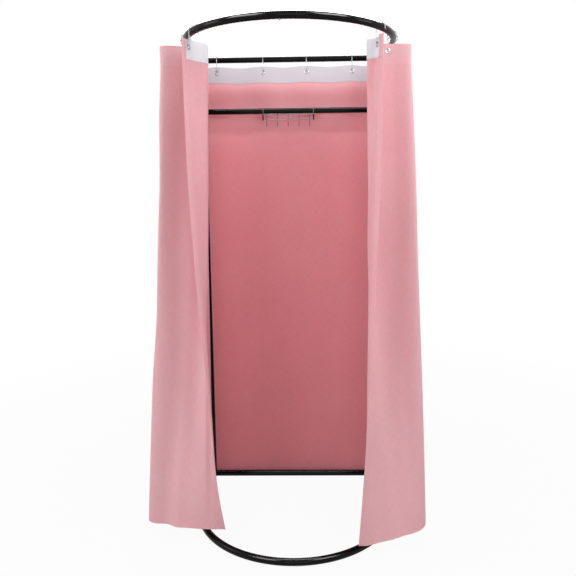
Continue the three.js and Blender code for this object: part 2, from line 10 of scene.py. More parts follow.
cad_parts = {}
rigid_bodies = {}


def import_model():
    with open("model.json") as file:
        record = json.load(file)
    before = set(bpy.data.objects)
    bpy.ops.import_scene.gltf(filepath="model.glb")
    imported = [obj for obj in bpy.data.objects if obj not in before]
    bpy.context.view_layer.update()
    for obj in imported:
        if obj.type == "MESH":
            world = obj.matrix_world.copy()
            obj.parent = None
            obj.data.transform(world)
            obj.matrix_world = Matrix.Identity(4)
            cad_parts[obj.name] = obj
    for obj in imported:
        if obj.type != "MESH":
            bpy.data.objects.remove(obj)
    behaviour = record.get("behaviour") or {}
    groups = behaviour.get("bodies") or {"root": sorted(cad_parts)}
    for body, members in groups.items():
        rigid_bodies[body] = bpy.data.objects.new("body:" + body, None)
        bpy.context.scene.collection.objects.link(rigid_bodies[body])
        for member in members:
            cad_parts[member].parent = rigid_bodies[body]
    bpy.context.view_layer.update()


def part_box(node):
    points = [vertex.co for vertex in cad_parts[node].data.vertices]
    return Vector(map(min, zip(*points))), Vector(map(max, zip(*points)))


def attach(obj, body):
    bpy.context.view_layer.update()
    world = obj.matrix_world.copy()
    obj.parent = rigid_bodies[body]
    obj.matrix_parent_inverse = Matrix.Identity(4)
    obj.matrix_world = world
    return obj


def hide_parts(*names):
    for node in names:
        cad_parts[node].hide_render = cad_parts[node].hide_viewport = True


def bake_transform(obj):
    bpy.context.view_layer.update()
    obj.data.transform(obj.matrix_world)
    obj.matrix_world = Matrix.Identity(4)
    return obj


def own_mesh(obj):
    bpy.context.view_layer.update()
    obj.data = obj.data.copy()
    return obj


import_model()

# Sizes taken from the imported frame


def middle(node):
    low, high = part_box(node)
    return (np.array(low) + np.array(high)) / 2


def extent(node):
    low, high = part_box(node)
    return np.array(high) - np.array(low)


tube_radius = extent("back_top_bar")[2] / 2
bar_radius = extent("hanging_bar")[2] / 2
half_width = middle("right_upright_lower")[0]
top_height = middle("back_top_bar")[2]
base_height = middle("back_base_bar")[2]
bar_height = middle("hanging_bar")[2]
side_length = -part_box("top_rail_left")[0][1] - half_width - tube_radius
upright_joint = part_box("right_upright_upper")[0][2]
rail_start = -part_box("top_rail_left")[1][1]
arm_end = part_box("back_top_bar")[1][0]
bar_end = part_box("hanging_bar")[1][0]
cloth_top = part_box("back_curtain")[1][2]
side_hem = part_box("left_curtain")[0][2]
back_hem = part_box("back_curtain")[0][2]
back_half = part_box("back_curtain_band")[1][0]
back_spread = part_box("back_curtain")[1][0] - back_half

# Tubes and fittings, which the frame's boxes don't give in full
tube_wall = 0.0012
fit_gap = 0.0003
tube_bore = tube_radius - tube_wall
neck_radius = tube_bore - fit_gap
neck_bore = neck_radius - tube_wall
neck_root = 0.004
rail_neck = 0.032
rail_overlap = 0.004
upright_neck = 0.045
spigot_length = 0.045
arm_reach = half_width - arm_end - fit_gap
fitting_round = 0.0012
rim_round = 0.0004
weld_bead = 0.0026

# Hooks and grommets
wire_radius = 0.00125
wire_rest = 0.0001
loop_radius = 0.01825
loop_drop = 0.002
shank_drop = 0.05
eye_radius = 0.0065
eye_depth = eye_radius * math.sin(math.pi / 3)
grommet_hole = 0.0054
grommet_flange = 0.0105
grommet_wall = 0.0012
grommet_roll = 0.0011
grommet_hang = 0.0055
grommet_drop = shank_drop + eye_depth - wire_radius - fit_gap + grommet_hang

# Cloth, its hems and its header
cloth_thickness = 0.0012
hem_extra = 0.0009
hem_fold = 0.035
side_fold = 0.022
hem_step = 0.003
seam_inset = 0.003
band_thickness = 0.001
band_height = 0.08
header_seam = band_height - 0.006
header_sag = 0.005
header_thickness = cloth_thickness + fit_gap + band_thickness
cloth_shift = (header_thickness - cloth_thickness) / 2
fold_reach = 0.1
facet_half = 0.013
back_set = 0.021
back_wave = 0.009
stitch_pitch = 0.0055
stitch_length = 0.0032
stitch_radius = 0.00042
stitch_lift = 0.0001

# Steps of the meshes
tube_sides = 40
solid_sides = 36
wire_sides = 10
bend_steps = 61
span_steps = 10
facet_steps = 3

left, right = -1, 1
words = {left: "left", right: "right"}
up = np.array([0.0, 0.0, 1.0])

# Mesh helpers


def unit(v):
    v = np.asarray(v, float)
    return v / np.maximum(np.linalg.norm(v, axis=-1, keepdims=True), 1e-12)


def linked(name, data):
    """An object of the scene that shows this data."""
    obj = bpy.data.objects.new(name, data)
    bpy.context.scene.collection.objects.link(obj)
    return obj


def piece(name, vertices, faces, look, slot, smooth=True, uv=None):
    """A mesh object. Smooth shading breaks at sharp edges. uv gives one pair for each vertex."""
    mesh = bpy.data.meshes.new(name)
    mesh.from_pydata([tuple(v) for v in vertices], [], [tuple(int(i) for i in f) for f in faces])
    mesh.validate()
    if uv is not None:
        layer = mesh.uv_layers.new(name="cloth")
        index = np.empty(len(mesh.loops), int)
        mesh.loops.foreach_get("vertex_index", index)
        layer.data.foreach_set("uv", np.asarray(uv, float)[index].ravel())
    if smooth:
        mesh.polygons.foreach_set("use_smooth", np.ones(len(mesh.polygons), bool))
        mesh.set_sharp_from_angle(angle=math.radians(40))
    mesh.materials.append(look)
    return linked(name, mesh)


def square_to(axis):
    """A direction square to the axis."""
    start = np.eye(3)[np.argmin(np.abs(axis))]
    return unit(start - axis * start.dot(axis))


def axes_across(points):
    """Two axes across the path at each of its points, carried along it without twist."""
    steps = unit(np.diff(points, axis=0))
    travel = unit(np.vstack([steps[:1], steps[:-1] + steps[1:], steps[-1:]]))
    across = [square_to(travel[0])]
    for t in travel[1:]:
        across.append(unit(across[-1] - t * across[-1].dot(t)))
    return np.array(across), np.cross(travel, across)


def circles(across, other, sides):
    """Unit circles in the planes of two axes."""
    angle = np.arange(sides)[:, None] * 2 * math.pi / sides
    return across[..., None, :] * np.cos(angle) + other[..., None, :] * np.sin(angle)


def rings_along(points, radii, sides):
    points = np.asarray(points, float)
    radii = np.broadcast_to(radii, len(points))[:, None, None]
    return points[:, None] + circles(*axes_across(points), sides) * radii


def skin(rings, closed=False):
    """Vertices and faces over rings of equal counts, capped at both ends or closed on itself."""
    count, sides = rings.shape[:2]
    faces = []
    for i in range(count if closed else count - 1):
        a, b = i * sides, (i + 1) % count * sides
        faces += [(a + j, a + (j + 1) % sides, b + (j + 1) % sides, b + j) for j in range(sides)]
    if not closed:
        faces += [tuple(range(sides)[::-1]), tuple(range((count - 1) * sides, count * sides))]
    return rings.reshape(-1, 3), faces


def merged(parts):
    vertices, faces, start = [], [], 0
    for v, f in parts:
        vertices.append(v)
        faces += [tuple(i + start for i in face) for face in f]
        start += len(v)
    return np.vstack(vertices), faces


def flipped(vertices, faces):
    """The solid mirrored to the other side, with its faces still turned outward."""
    return np.asarray(vertices) * np.array([-1, 1, 1]), [f[::-1] for f in faces]


def wire(points, radius=wire_radius):
    """A round wire with softly rounded ends."""
    points = np.asarray(points, float)
    tip = unit(points[0] - points[1]) * radius * 0.5
    tail = unit(points[-1] - points[-2]) * radius * 0.5
    full = np.vstack([points[0] + tip, points, points[-1] + tail])
    radii = np.full(len(full), radius)
    radii[[0, -1]] = radius * 0.45
    return skin(rings_along(full, radii, wire_sides))


def pipe(points, outer, inner):
    """A hollow tube with softly rounded rims."""
    points = np.asarray(points, float)
    first = points[0] + unit(points[1] - points[0]) * rim_round
    last = points[-1] + unit(points[-2] - points[-1]) * rim_round
    full = np.vstack([points[0], first, points[1:-1], last, points[-1]])
    radii = np.full(len(full), outer)
    radii[[0, -1]] -= rim_round
    outside = rings_along(full, radii, tube_sides)
    bore = rings_along(full, inner, tube_sides)[::-1]
    return skin(np.concatenate([outside, bore]), closed=True)


def straight_pipe(start, end, count, outer=tube_radius):
    """A frame tube between two points, with the wall that all tubes have."""
    return pipe(np.linspace(start, end, count), outer, outer - tube_wall)


def neck(points):
    """The thinner end of a tube or fitting, which plugs into the next tube."""
    return pipe(points, neck_radius, neck_bore)


def lathe(profile, centre, axis, sides=28):
    """A closed profile of (distance along the axis, radius) turned about the axis."""
    axis = unit(axis)
    across = square_to(axis)
    ring = circles(across, np.cross(axis, across), sides)
    rings = [np.asarray(centre) + axis * shift + ring * radius for shift, radius in profile]
    return skin(np.array(rings), closed=True)


# Materials


class Nodes:
    """The node tree of a material or the world, with short calls for the nodes used here."""

    def __init__(self, owner):
        owner.use_nodes = True
        self.owner = owner
        self.tree = owner.node_tree

    def feed(self, socket, value):
        """Gives a socket its own value, or links it to the output that feeds it."""
        if isinstance(value, bpy.types.NodeSocket):
            self.tree.links.new(value, socket)
        else:
            socket.default_value = value

    def add(self, kind, sockets=None, **settings):
        node = self.tree.nodes.new(kind)
        for key, value in settings.items():
            setattr(node, key, value)
        for key, value in (sockets or {}).items():
            self.feed(node.inputs[key], value)
        return node

    def set(self, **values):
        """Feeds the Principled shader, whose sockets are named with _ for each space."""
        shader = self.tree.nodes["Principled BSDF"]
        for key, value in values.items():
            self.feed(shader.inputs[key.replace("_", " ")], value)

    def coordinates(self, output, stretch=(1, 1, 1)):
        source = self.add("ShaderNodeTexCoord").outputs[output]
        return self.add("ShaderNodeMapping", {"Vector": source, "Scale": stretch}).outputs["Vector"]

    def noise(self, vector, scale, detail=3.0, roughness=0.5):
        sockets = {"Vector": vector, "Scale": scale, "Detail": detail, "Roughness": roughness}
        return self.add("ShaderNodeTexNoise", sockets).outputs["Fac"]

    def math(self, operation, first, second):
        return self.add("ShaderNodeMath", {0: first, 1: second}, operation=operation).outputs[0]

    def ramp(self, factor, stops):
        """A colour ramp. Each stop is a place and a colour."""
        node = self.add("ShaderNodeValToRGB", {"Fac": factor})
        elements = node.color_ramp.elements
        for element, (place, colour) in ((elements[0], stops[0]), (elements[1], stops[-1])):
            element.position, element.color = place, (*colour, 1)
        for place, colour in stops[1:-1]:
            elements.new(place).color = (*colour, 1)
        return node.outputs["Color"]

    def range(self, factor, low, high, start=0.0, end=1.0, kind="LINEAR"):
        """Turns a factor that runs from start to end into a value from low to high."""
        ends = {"From Min": start, "From Max": end, "To Min": low, "To Max": high}
        sockets = {"Value": factor, **ends}
        return self.add("ShaderNodeMapRange", sockets, interpolation_type=kind).outputs["Result"]

    def bump(self, height, distance, strength, under=None):
        sockets = {"Height": height, "Distance": distance, "Strength": strength}
        if under is not None:
            sockets["Normal"] = under
        return self.add("ShaderNodeBump", sockets).outputs["Normal"]


def material(name):
    return Nodes(bpy.data.materials.new(name))


def linear(*screen):
    """A colour given as red, green and blue screen values from 0 to 255."""
    values = np.array(screen) / 255
    bright = ((values + 0.055) / 1.055) ** 2.4
    return tuple(float(v) for v in np.where(values <= 0.04045, values / 12.92, bright))


def black_paint():
    """Gloss black powder coat: faint orange peel and dust-grey variation."""
    m = material("black_powder_coat")
    place = m.coordinates("Object")
    dust = [(0.3, linear(5, 6, 6)), (0.7, linear(11, 12, 12))]
    m.set(
        Base_Color=m.ramp(m.noise(place, 14, 4.0), dust),
        Roughness=m.range(m.noise(place, 60, 5.0), 0.09, 0.17),
        Normal=m.bump(m.noise(place, 900, 2.0), 0.00002, 0.4),
        Specular_IOR_Level=0.1,
    )
    return m.owner


def bright_metal(name, colour, low, high):
    """Plated metal with fine drawing marks and a slightly uneven polish, rough by low to high."""
    m = material(name)
    place = m.coordinates("Object")
    marks = m.noise(m.coordinates("Object", (1, 1, 0.08)), 1800, 3.0, 0.6)
    dull = tuple(c * 0.78 for c in colour)
    m.set(
        Base_Color=m.ramp(m.noise(place, 120, 4.0), [(0.35, dull), (0.6, colour)]),
        Roughness=m.range(m.noise(place, 300, 3.0), low, high),
        Normal=m.bump(marks, 0.00004, 0.5),
        Metallic=1.0,
    )
    return m.owner


def rubber():
    """Matt black moulded rubber."""
    m = material("black_rubber")
    place = m.coordinates("Object")
    shades = [(0.3, linear(22, 18, 19)), (0.7, linear(38, 30, 31))]
    m.set(
        Base_Color=m.ramp(m.noise(place, 80), shades),
        Normal=m.bump(m.noise(place, 1500, 3.0), 0.0001, 0.6),
        Roughness=0.62,
    )
    return m.owner


def threads(m, scale):
    """Weave height: two sets of threads crossing over and under, in cloth coordinates."""
    uneven = {"Distortion": 1.2, "Detail": 1.0, "Detail Scale": 0.6}
    sockets = {"Vector": m.coordinates("UV"), "Scale": scale, **uneven}
    bands = {"wave_type": "BANDS", "wave_profile": "SIN"}
    sets = [m.add("ShaderNodeTexWave", sockets, bands_direction=way, **bands) for way in "XY"]
    return m.math("MAXIMUM", *(node.outputs["Fac"] for node in sets))


def slubs(m):
    """Long thin and thick places in the yarns, both ways."""
    stretches = ((1100, 45, 1), (45, 1100, 1))
    both = (m.noise(m.coordinates("UV", stretch), 1.0, 2.0) for stretch in stretches)
    return m.math("MULTIPLY", m.math("ADD", *both), 0.5)


def pink_cloth(name, top_light_share, *shades):
    """Dusty pink linen-look curtain cloth, given as its darker, middle and lighter yarn shades.

    The header is paler, partly as double cloth over the white tape and partly as painted light, and
    the top below it is paler by top_light_share, as painted light from above.
    """
    m = material(name)
    slub = slubs(m)
    cloud = m.noise(m.coordinates("Object"), 3.2, 3.0)
    tone = m.math("ADD", m.math("MULTIPLY", slub, 0.85), m.math("MULTIPLY", cloud, 0.15))
    yarn = m.ramp(tone, list(zip((0.36, 0.5, 0.64), shades)))
    down = m.add("ShaderNodeSeparateXYZ", {0: m.coordinates("UV")}).outputs["Y"]
    # Header rows paler by 0.2: partly the doubled cloth over white tape, partly painted light.
    header = m.math("MULTIPLY", m.math("LESS_THAN", down, band_height - 0.004), 0.2)
    # Painted light: the cloth grows paler towards the top below the header, as if lit from above.
    top = m.range(down, top_light_share, 0.0, 0.15, 0.42, "SMOOTHSTEP")
    paler_doubled_and_lit_tone = (*linear(250, 205, 210), 1)
    sockets = {"Factor": m.math("MAXIMUM", header, top), "A": yarn, "B": paler_doubled_and_lit_tone}
    m.set(
        Base_Color=m.add("ShaderNodeMix", sockets, data_type="RGBA").outputs["Result"],
        Roughness=m.range(slub, 0.76, 0.92),
        Normal=m.bump(threads(m, 330), 0.0003, 0.55, m.bump(slub, 0.0009, 0.6)),
        Subsurface_Weight=0.4,
        Subsurface_Scale=0.004,
        Subsurface_Radius=(1.0, 0.3, 0.36),
        Specular_IOR_Level=0.2,
        Sheen_Weight=0.12,
        Sheen_Roughness=0.45,
        Sheen_Tint=(1, 0.82, 0.85, 1),
    )
    return m.owner


def white_band(name, *shades):
    """White non-woven header tape, with a fine pressed pattern, given as two shades."""
    m = material(name)
    fibre = m.noise(m.coordinates("UV", (420, 420, 1)), 1.0, 5.0, 0.65)
    m.set(
        Base_Color=m.ramp(fibre, list(zip((0.3, 0.7), shades))),
        Normal=m.bump(threads(m, 150), 0.0002, 0.4, m.bump(fibre, 0.0003, 0.5)),
        Roughness=0.82,
        Specular_IOR_Level=0.25,
    )
    return m.owner


def sewing_thread():
    """Sewing thread, a shade lighter than the cloth."""
    m = material("pink_thread")
    twist = m.noise(m.coordinates("Object", (900, 900, 900)), 1.0, 1.0)
    shades = [(0.3, linear(214, 150, 160)), (0.7, linear(238, 184, 190))]
    m.set(Base_Color=m.ramp(twist, shades), Roughness=0.6, Sheen_Weight=0.2)
    return m.owner


paint = black_paint()
wire_metal = bright_metal("plated_wire", linear(172, 174, 176), 0.14, 0.26)
rack_metal = bright_metal("dull_plated_wire", linear(136, 130, 132), 0.2, 0.34)
eyelet_metal = bright_metal("plated_eyelet", linear(178, 178, 176), 0.18, 0.32)
screw_metal = bright_metal("zinc_screw", linear(190, 192, 194), 0.25, 0.4)
cap_rubber = rubber()
side_shades = linear(224, 167, 174), linear(231, 177, 183), linear(238, 187, 192)
# The back curtain is the same cloth as the sides, written deeper pink: painted shade and bounced
# pink light of the cabin's inside.
back_shaded_tones = linear(226, 150, 159), linear(234, 160, 168), linear(241, 170, 177)
side_cloth = pink_cloth("pink_linen_weave", 0.0, *side_shades)
# The back's top below the header is painted paler by 0.42: painted light from above.
back_cloth_painted_shade = pink_cloth("pink_linen_weave_painted_shade", 0.42, *back_shaded_tones)
# The same white tape is given two tones: the back's copy is written darker than the sides' as
# painted shade.
side_tape = white_band("white_header_tape", linear(222, 221, 227), linear(236, 235, 240))
back_tape_painted_shade = white_band("header_tape_painted_shade", linear(193, 190, 197), linear(207, 204, 210))
thread_look = sewing_thread()

# Frame of tubes


def framed(name, parts, body="frame", look=paint, slot="frame_tube"):
    """A piece that stands for the node of this name."""
    obj = piece(name + "_shell", *merged(parts), look, slot)
    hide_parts(name)
    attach(obj, body)


def rail_points(side, height, reach_past):
    """From the corner along the side and round the bend, to reach_past beyond the middle."""
    side_places = np.linspace(rail_start, side_length, 6)[:-1]
    straight = [(side * half_width, -y, height) for y in side_places]
    turns = np.linspace(0, math.pi / 2 + reach_past / half_width, bend_steps)
    x, y = half_width * np.cos(turns), side_length + half_width * np.sin(turns)
    bend = np.stack([side * x, -y, np.full(bend_steps, height)], axis=1)
    return np.vstack([straight, bend])


def rails():
    """Both rings. The right half's neck plugs into the left half, past the front middle."""
    for word, height in (("top", top_height), ("base", base_height)):
        plugged = rail_points(left, height, -rail_overlap - fit_gap)
        framed(f"{word}_rail_left", [pipe(plugged, tube_radius, tube_bore)])
        main = rail_points(right, height, rail_overlap)
        ahead = unit(main[-1] - main[-2])
        beyond = main[-1] + ahead * np.linspace(0, rail_neck, 5)[:, None] - ahead * neck_root
        framed(f"{word}_rail_right", [pipe(main, tube_radius, tube_bore), neck(beyond)])


def uprights():
    """The lower tubes with their necks, and the upper ones with the hanging bar's stubs."""
    stub_radius = bar_radius - tube_wall - fit_gap
    weld_start = half_width - tube_radius
    weld_profile = [
        (weld_start + weld_bead, stub_radius - 0.002),
        (weld_start + weld_bead, bar_radius + 0.0002 - weld_bead),
        (weld_start + 0.0006, stub_radius - 0.001),
    ]
    for side, word in words.items():
        x = side * half_width
        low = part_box(f"{word}_upright_lower")[0][2]
        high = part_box(f"{word}_upright_upper")[1][2]
        lower = straight_pipe((x, 0, low), (x, 0, upright_joint - fit_gap), 5)
        plug = neck([(x, 0, upright_joint + z) for z in (-0.006, 0.02, upright_neck)])
        framed(f"{word}_upright_lower", [lower, plug])
        upper = straight_pipe((x, 0, upright_joint), (x, 0, high), 5)
        reaches = np.linspace(half_width - tube_bore, bar_end - spigot_length, 4)
        axis = [(side * reach, 0, bar_height) for reach in reaches]
        stub = skin(rings_along(axis, stub_radius, solid_sides))
        weld = lathe(weld_profile, (0, 0, bar_height), (side, 0, 0))
        framed(f"{word}_upright_upper", [upper, stub, weld])


def bars():
    for node, end, height, radius in (
        ("back_top_bar", arm_end, top_height, tube_radius),
        ("back_base_bar", arm_end, base_height, tube_radius),
        ("hanging_bar", bar_end, bar_height, bar_radius),
    ):
        framed(node, [straight_pipe((-end, 0, height), (end, 0, height), 9, radius)])


def united(parts):
    """The parts as one solid, with its inner corners eased like a ground weld."""
    objects = []
    for i, part in enumerate(parts):
        objects.append(piece(f"arm_{i}", *part, paint, "frame_tube", smooth=False))
    base = objects[0]
    for other in objects[1:]:
        join = base.modifiers.new("join", "BOOLEAN")
        join.operation, join.solver, join.object = "UNION", "EXACT", other
    ease = base.modifiers.new("ease", "BEVEL")
    ease.width, ease.segments = fitting_round, 3
    ease.limit_method, ease.angle_limit = "ANGLE", math.radians(35)
    graph = bpy.context.evaluated_depsgraph_get()
    mesh = bpy.data.meshes.new_from_object(base.evaluated_get(graph))
    vertices = np.array([v.co for v in mesh.vertices])
    faces = [tuple(p.vertices) for p in mesh.polygons]
    for obj in objects:
        bpy.data.objects.remove(obj)
    return vertices, faces


def corner_fittings():
    """Three-way fittings: one arm up or down, one along the side and one along the back."""
    for side, word in words.items():
        for place, height, rise in (("top", top_height, -1), ("base", base_height, 1)):
            centre = np.array([side * half_width, 0, height])
            ways = np.array([(0, 0, rise), (0, -1, 0), (-side, 0, 0)], float)
            arms, necks = [], []
            for start, way in zip((-tube_radius, 0.0, 0.0), ways):
                stops = centre + way * np.array([start, arm_reach])[:, None]
                arms.append(skin(rings_along(stops, tube_radius, solid_sides)))
                reaches = (-neck_root, 0.01, spigot_length)
                necks.append(neck([centre + way * (arm_reach + reach) for reach in reaches]))
            framed(f"{word}_{place}_corner", [united(arms), *necks])


def screw(node, axis):
    """A pan-head screw, its cross recess drawn as two dark strips on the head: painted shade. The
    axis points out of the head.
    """
    axis = np.array(axis, float)
    length = extent(node)[np.argmax(np.abs(axis))]
    top = middle(node) + axis * length / 2
    head, rise, pole = 0.0045, 0.0025, 0.0004
    dome = [
        (-rise, pole),
        (-rise, head),
        (-rise * 0.55, head * 0.97),
        (-rise * 0.2, head * 0.75),
        (0, head * 0.4),
        (0, pole),
    ]
    shank = skin(rings_along([top - axis * s for s in (rise * 0.9, length)], 0.0025, 24))
    framed(node, [lathe(dome, top, axis), shank], look=screw_metal, slot="screw")
    # Painted shade: the cross recess is not cut but drawn as two thin black rubber strips across
    # the head.
    side = np.roll(axis, 1)
    recess_shade_strips = []
    for along in (side, np.cross(axis, side)):
        ends = [top + axis * 0.0001 + along * s * head * 0.55 for s in (-1, 1)]
        recess_shade_strips.append(skin(rings_along(ends, 0.0004, 8)))
    recess_shade = piece(f"{node}_recess", *merged(recess_shade_strips), cap_rubber, "screw")
    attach(recess_shade, "frame")


# Hooks and grommets. Each stop of a side curtain says where the cloth passes, seen from
# above: a share of the side or a turn in degrees round the bend, and its reach outside the
# rail as a share of the fold reach, at the header, half way down and at the hem. A hook's
# stop lists its place on the rail, the twist of its eye and only the two lower levels. The
# left lead hook hangs the other way round, with its shank on the outer side of the rail.

side_stops = [
    {"along": [0.06, 0.06, 0.06], "out": [-0.13, -0.05, 0.05]},
    {"hook_along": 0.145, "twist": 0, "along": [0.145, 0.145], "out": [0, 0.14]},
    {"along": [0.34, 0.34, 0.34], "out": [0.32, 0.46, 0.66]},
    {"hook_along": 0.55, "twist": 0, "along": [0.55, 0.55], "out": [0.25, 0.8]},
    {"along": [0.8, 0.8, 0.8], "out": [0.45, 0.8, 1.3]},
]
left_stops = [
    *side_stops,
    {"hook_turn": 1, "twist": 70, "turn": [1, 2], "out": [0.5, 1.25]},
    {"turn": [4.5, 5, 6], "out": [-0.7, 0, 1.12]},
    {"hook_turn": 8, "twist": -70, "turn": [9, 10], "out": [0.75, 1.58]},
    {"turn": [10, 12, 13], "out": [0.6, 1.28, 1.94]},
    {"turn": [17.3, 17.9, 17.8], "out": [1, 1.59, 2.18]},
    {"hook_turn": 15.5, "twist": 93, "turn": [20.5, 26.4], "out": [0.45, 1.42]},
    {"turn": [15, 23.2, 30.6], "out": [-0.62, -0.18, 0.92]},
    {"turn": [25.5, 33, 37.2], "out": [-0.68, -0.17, 0.3]},
    {"hook_turn": 33, "twist": -61, "reversed": True, "turn": [36, 40.2], "out": [0, 0.04]},
    {"turn": [34.2, 38.5, 43.4], "out": [0.39, 0.24, -0.19]},
    {"turn": [35.6, 38.9, 45.3], "out": [0.56, 0.4, -0.31]},
]
right_stops = [
    *side_stops,
    {"hook_turn": 1, "twist": 70, "turn": [1, 2], "out": [0.4, 1.1]},
    {"turn": [4.5, 5, 7], "out": [-0.7, 0, 0.98]},
    {"hook_turn": 8.5, "twist": -70, "turn": [9, 12], "out": [0.6, 1.3]},
    {"turn": [9, 13, 17], "out": [0.5, 1.01, 1.5]},
    {"turn": [13.4, 19, 24.4], "out": [0.72, 1.24, 1.68]},
    {"hook_turn": 15.5, "twist": 68, "turn": [23.3, 33.2], "out": [0.3, 1.6]},
    {"turn": [20.6, 29.8, 39.1], "out": [-0.55, -0.25, 1.3]},
    {"turn": [32.8, 39.3, 46.6], "out": [-0.54, -0.14, 0.91]},
    {"hook_turn": 34.5, "twist": -55, "turn": [44.6, 51.6], "out": [0.08, 0.7]},
    {"turn": [40.3, 48, 54.9], "out": [0.24, 0.36, 0.54]},
    {"turn": [41.2, 48.4, 56.7], "out": [0.44, 0.56, 0.43]},
]
back_hook_shares = [-0.87, -0.335, 0.165, 0.69, 0.97]


def outward_at(turn):
    angle = math.radians(turn)
    return np.array([-math.cos(angle), -math.sin(angle), 0])


def along_side(share, reach):
    return np.array([-half_width - reach, -side_length * share, 0])


def round_bend(turn, reach):
    return np.array([0, -side_length, 0]) + outward_at(turn) * (half_width + reach)


def turned(direction, degrees):
    """The direction turned about the vertical."""
    x, y, z = direction
    c, s = math.cos(math.radians(degrees)), math.sin(math.radians(degrees))
    return np.array([c * x - s * y, s * x + c * y, z])


def placed_hook(axis, outward, through):
    """A hook's places: on the rail, in its grommet and on the middle of the cloth."""
    inner = axis - outward * loop_radius + through * eye_radius
    cloth = inner + through * cloth_shift
    return {"axis": axis, "outward": outward, "through": through, "cloth": cloth, "inner": inner}


def side_hook(stop):
    if "hook_turn" in stop:
        axis, outward = round_bend(stop["hook_turn"], 0), outward_at(stop["hook_turn"])
    else:
        axis, outward = along_side(stop["hook_along"], 0), outward_at(0)
    through = turned(outward, stop["twist"])
    return placed_hook(axis, -outward if stop.get("reversed") else outward, through)


def back_hooks():
    outward = np.array([0.0, 1.0, 0.0])
    places = [np.array([back_half * share, 0, 0]) for share in back_hook_shares]
    return [placed_hook(place, outward, outward) for place in places]


def hook_wire(hook):
    """One wire: an open loop over the rail, a shank beside it, and a J through the grommet."""
    axis, outward, through = hook["axis"], hook["outward"], hook["through"]
    tall = tube_radius + wire_radius + wire_rest + loop_drop

    def place(reach, rise):
        return axis + outward * reach + up * (top_height + rise)

    flare = [
        place(loop_radius + 0.0034, -loop_drop - 0.0098),
        place(loop_radius + 0.0012, -loop_drop - 0.0074),
    ]
    loop = []
    for a in np.radians(np.arange(-15, 181, 9)):
        height = tall if math.sin(a) > 0 else loop_radius
        loop.append(place(loop_radius * math.cos(a), -loop_drop + height * math.sin(a)))
    shank = [place(-loop_radius, -z) for z in np.linspace(0.006, shank_drop, 5)]
    eye_centre = place(-loop_radius, -shank_drop) + through * eye_radius
    eye = [
        eye_centre - through * eye_radius * math.cos(a) - up * eye_depth * math.sin(a)
        for a in np.radians(np.arange(15, 181, 15))
    ]
    tip = eye[-1] + up * 0.003
    return wire([*flare, *loop, *shank, *eye, tip])


def grommet_solid(hook):
    """Two rolled flanges and a barrel."""
    half = header_thickness / 2 + fit_gap
    rim = [
        (half, grommet_flange),
        (half + grommet_roll * 0.6, grommet_flange * 0.97),
        (half + grommet_roll, grommet_flange * 0.86),
        (half + grommet_roll * 1.05, grommet_hole * 1.35),
        (half + grommet_roll * 0.7, grommet_hole * 1.08),
    ]
    other_rim = [(-shift, radius) for shift, radius in rim[::-1]]
    barrel = [(-half, grommet_hole + grommet_wall), (half, grommet_hole + grommet_wall)]
    centre = hook["inner"] + up * (top_height - grommet_drop)
    return lathe([*rim, (0, grommet_hole), *other_rim, *barrel], centre, hook["through"])


def hooks_and_grommets(word, hooks, sliders):
    """sliders gives the bodies of the moving hooks, by number. The others stay with the frame."""
    for i, hook in enumerate(hooks, 1):
        body = f"{word}_slider_{sliders[i]}" if i in sliders else "frame"
        for kind, solid, look, slot in (
            ("hook", hook_wire(hook), wire_metal, "steel_wire"),
            ("grommet", grommet_solid(hook), eyelet_metal, "grommet_metal"),
        ):
            solid = flipped(*solid) if word == "right" else solid
            framed(f"{word}_{kind}_{i}", [solid], body, look, slot)


# Curtain cloth


def eased(share):
    """A share held between 0 and 1, with a soft start and end."""
    share = np.clip(share, 0, 1)
    return share * share * (3 - 2 * share)


def stop_point(stop, level):
    """Where the cloth passes a stop at a level: 0 the header, 1 half way down, 2 the hem."""
    column = level - 3 + len(stop["out"])
    if column < 0:
        return side_hook(stop)["cloth"]
    reach = stop["out"][column] * fold_reach
    if "turn" in stop:
        return round_bend(stop["turn"][column], reach)
    return along_side(stop["along"][column], reach)


def level_points(stops, level):
    """The stops of one level, each hook's stop as two ends of the flat that has its grommet."""
    places = [stop_point(stop, level) for stop in stops]
    points, flats = [], []
    for i, stop in enumerate(stops):
        if "twist" not in stop:
            points.append(places[i])
            continue
        chord = unit(places[i + 1] - places[i - 1])
        travel = turned(side_hook(stop)["through"], 90) if level == 0 else chord
        flats.append(len(points))
        points += [places[i] - travel * facet_half, places[i] + travel * facet_half]
    return np.array(points), flats


def smooth_line(points, flats, keep_flat):
    """Samples a smooth curve through the points. Flats stay straight where keep_flat is set."""
    chords = np.diff(points, axis=0)
    lengths = np.linalg.norm(chords, axis=1)
    directions = unit(chords)
    tangents = np.empty_like(points)
    tangents[0], tangents[-1] = directions[0], directions[-1]
    for i in range(1, len(points) - 1):
        share = lengths[i] / (lengths[i - 1] + lengths[i])
        tangents[i] = unit(directions[i - 1] * share + directions[i] * (1 - share))
    if keep_flat:
        for f in flats:
            tangents[f] = tangents[f + 1] = directions[f]
    samples = [points[0]]
    for i, length in enumerate(lengths):
        leave, arrive = length * tangents[i], length * tangents[i + 1]
        steps = facet_steps if i in flats else span_steps
        for t in np.arange(1, steps + 1) / steps:
            a, b = 2 * t**3 - 3 * t**2 + 1, t**3 - 2 * t**2 + t
            c, d = 3 * t**2 - 2 * t**3, t**3 - t**2
            samples.append(a * points[i] + b * leave + c * points[i + 1] + d * arrive)
    return np.array(samples)


def row_normals(grid):
    """Each point's outward direction in plan."""
    along = np.gradient(grid, axis=1)
    along[..., 2] = 0
    return unit(np.cross(unit(along), up))


def widths(grid):
    """How far along the cloth each column lies, from the mean of all rows."""
    steps = np.linalg.norm(np.diff(grid, axis=1), axis=2).mean(0)
    return np.concatenate([[0], np.cumsum(steps)])


def row_heights(hem):
    """Heights of the cloth's rows, from its top through the header band to the hem."""
    band = np.linspace(cloth_top, cloth_top - band_height, 9)
    return np.concatenate([band, np.linspace(cloth_top - band_height, hem, 96)[1:]])


